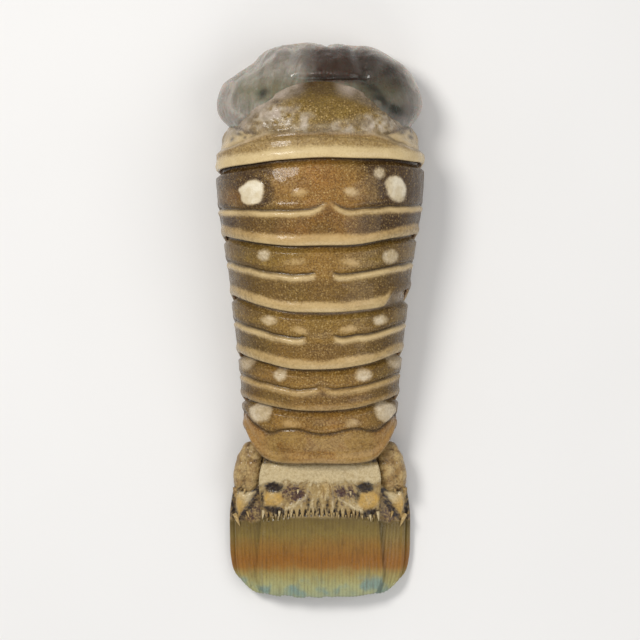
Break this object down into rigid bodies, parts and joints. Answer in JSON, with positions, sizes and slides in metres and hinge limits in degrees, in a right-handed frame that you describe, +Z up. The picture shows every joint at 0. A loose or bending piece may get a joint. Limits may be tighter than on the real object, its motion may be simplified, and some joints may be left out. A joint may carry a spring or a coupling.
{
  "type": "lobster tail",
  "caption": "Raw warm-water spiny lobster tail in the shell, belly down: overlapping ringed armour, meat bulging from the cut end, closed ribbed tail fan and swimmerets.",
  "frame": {"origin": "centre of the bottom of the tail's bounding box, on the surface it lies on", "axes": "+Y towards the cut head end along the tail, +X to the tail's right, +Z up out of the back"},
  "size_m": [0.0609, 0.16, 0.0361],
  "materials": {
    "meat": "moist raw flesh, translucent white to grey",
    "shell": "wet horny shell, olive brown with cream edges and spots",
    "fan": "wet leathery blades, amber to grey-green",
    "stalk": "wet horny shell, cream mottled with brown",
    "belly": "smooth horny bar, cream",
    "swimmeret": "thin soft leaf, cream to orange-brown"
  },
  "bodies": {
    "root": {"tail_meat": "meat", "shell_ring_1": "shell", "shell_ring_2": "shell", "shell_ring_3": "shell", "shell_ring_4": "shell", "shell_ring_5": "shell", "shell_ring_6": "shell", "telson": "fan", "inner_blade_left": "fan", "inner_blade_right": "fan", "outer_blade_left": "fan", "outer_blade_right": "fan", "fan_stalk_left": "stalk", "fan_stalk_right": "stalk", "cross_bar_1": "belly", "cross_bar_2": "belly", "cross_bar_3": "belly", "cross_bar_4": "belly", "cross_bar_5": "belly", "swimmeret_2_left": "swimmeret", "swimmeret_2_right": "swimmeret", "swimmeret_3_left": "swimmeret", "swimmeret_3_right": "swimmeret", "swimmeret_4_left": "swimmeret", "swimmeret_4_right": "swimmeret", "swimmeret_5_left": "swimmeret", "swimmeret_5_right": "swimmeret"}
  },
  "joints": []
}
